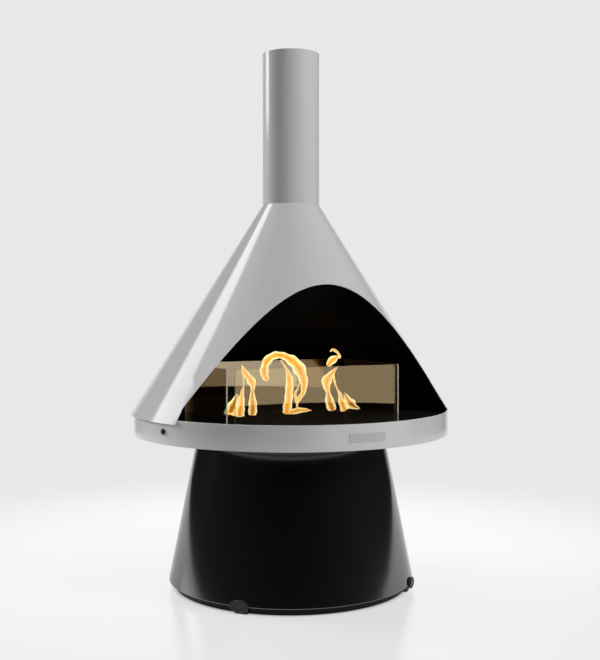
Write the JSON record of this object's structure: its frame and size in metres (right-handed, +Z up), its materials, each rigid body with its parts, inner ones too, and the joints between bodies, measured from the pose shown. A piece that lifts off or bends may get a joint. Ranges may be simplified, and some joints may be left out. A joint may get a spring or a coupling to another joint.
{
  "type": "gel fuel fireplace",
  "caption": "Free-standing conical hearth: tapered pedestal, shallow round firebox band, glass windscreen around gel fuel cans, arched cone hood and a straight flue pipe.",
  "frame": {"origin": "the middle of the footprint on the floor, on the axis of the pedestal and flue", "axes": "+Z up along the flue; the mouth faces -Y; +X is to the right of someone facing the object"},
  "size_m": [0.8793, 0.8715, 1.462],
  "materials": {
    "grey_enamel": "gloss enamel, light warm grey",
    "black_enamel": "satin black enamel",
    "gloss_black_deck": "gloss black enamel",
    "black_cups": "heat-proof black",
    "black_screws": "gloss black",
    "plain_steel": "mill finish",
    "tinplate": "bright tinplate",
    "zinc_fasteners": "zinc plated",
    "alcohol_gel": "translucent wet gel",
    "clear_glass": "clear, ground edges",
    "black_rubber": "moulded black rubber"
  },
  "bodies": {
    "body": {"flue_pipe": "grey_enamel", "flue_collar": "plain_steel", "hood": "grey_enamel", "strap_left": "black_enamel", "strap_right": "black_enamel", "strap_back": "black_enamel", "strap_screws": "black_screws", "hearth_band": "grey_enamel", "hearth_floor": "black_enamel", "deck": "gloss_black_deck", "cup_left": "black_cups", "cup_middle": "black_cups", "cup_right": "black_cups", "channel_front": "black_cups", "channel_back": "black_cups", "channel_left": "black_cups", "channel_right": "black_cups", "pedestal": "black_enamel", "pedestal_flange": "black_enamel", "base_ring": "black_enamel", "hearth_bolts": "zinc_fasteners", "hearth_nuts": "zinc_fasteners", "foot_front_left": "black_rubber", "foot_front_right": "black_rubber", "foot_back_right": "black_rubber", "foot_back_left": "black_rubber", "foot_bolts": "zinc_fasteners", "foot_nuts": "zinc_fasteners"},
    "can_left": {"fuel_can_left": "tinplate", "gel_left": "alcohol_gel"},
    "can_middle": {"fuel_can_middle": "tinplate", "gel_middle": "alcohol_gel"},
    "can_right": {"fuel_can_right": "tinplate", "gel_right": "alcohol_gel"},
    "pane_front": {"glass_front": "clear_glass"},
    "pane_back": {"glass_back": "clear_glass"},
    "pane_left": {"glass_left": "clear_glass"},
    "pane_right": {"glass_right": "clear_glass"}
  },
  "joints": [
    {"name": "can_left_lift", "type": "slide", "parent": "body", "child": "can_left", "axis": [0, 0, 1], "range_m": [0, 0.12]},
    {"name": "can_middle_lift", "type": "slide", "parent": "body", "child": "can_middle", "axis": [0, 0, 1], "range_m": [0, 0.12]},
    {"name": "can_right_lift", "type": "slide", "parent": "body", "child": "can_right", "axis": [0, 0, 1], "range_m": [0, 0.12]},
    {"name": "pane_front_lift", "type": "slide", "parent": "body", "child": "pane_front", "axis": [0, 0, 1], "range_m": [0, 0.05]},
    {"name": "pane_back_lift", "type": "slide", "parent": "body", "child": "pane_back", "axis": [0, 0, 1], "range_m": [0, 0.05]},
    {"name": "pane_left_lift", "type": "slide", "parent": "body", "child": "pane_left", "axis": [0, 0, 1], "range_m": [0, 0.05]},
    {"name": "pane_right_lift", "type": "slide", "parent": "body", "child": "pane_right", "axis": [0, 0, 1], "range_m": [0, 0.05]}
  ]
}
